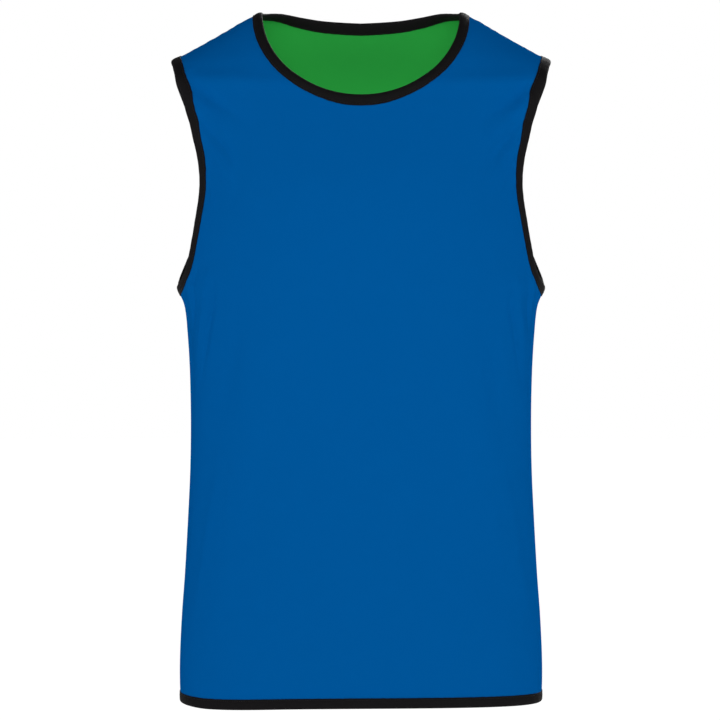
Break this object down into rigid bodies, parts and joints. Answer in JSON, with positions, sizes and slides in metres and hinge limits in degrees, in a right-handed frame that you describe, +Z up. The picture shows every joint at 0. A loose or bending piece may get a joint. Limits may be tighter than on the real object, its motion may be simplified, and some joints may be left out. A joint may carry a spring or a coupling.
{
  "type": "reversible sleeveless rugby bib",
  "caption": "Sleeveless two-layer training bib worn by a player, blue outside and green inside, with a folded black binding round neck, armholes and hem.",
  "frame": {"origin": "midway between the shoulders on the centre plane, level with the middle of the shoulder seams, where the wearer holds the bib up", "axes": "+Z up, -Y the front of the bib, +X the wearer's left; both side seams and both shoulder seams lie in the plane Y = 0"},
  "size_m": [0.3942, 0.2244, 0.7161],
  "materials": {
    "outside_cloth": "matte",
    "inside_cloth": "matte",
    "binding_cloth": "matte"
  },
  "bodies": {
    "root": {"outer_front": "outside_cloth", "inner_front": "inside_cloth", "outer_back": "outside_cloth", "inner_back": "inside_cloth", "neck_binding": "binding_cloth", "armhole_binding_right": "binding_cloth", "armhole_binding_left": "binding_cloth", "hem_binding": "binding_cloth"}
  },
  "joints": []
}
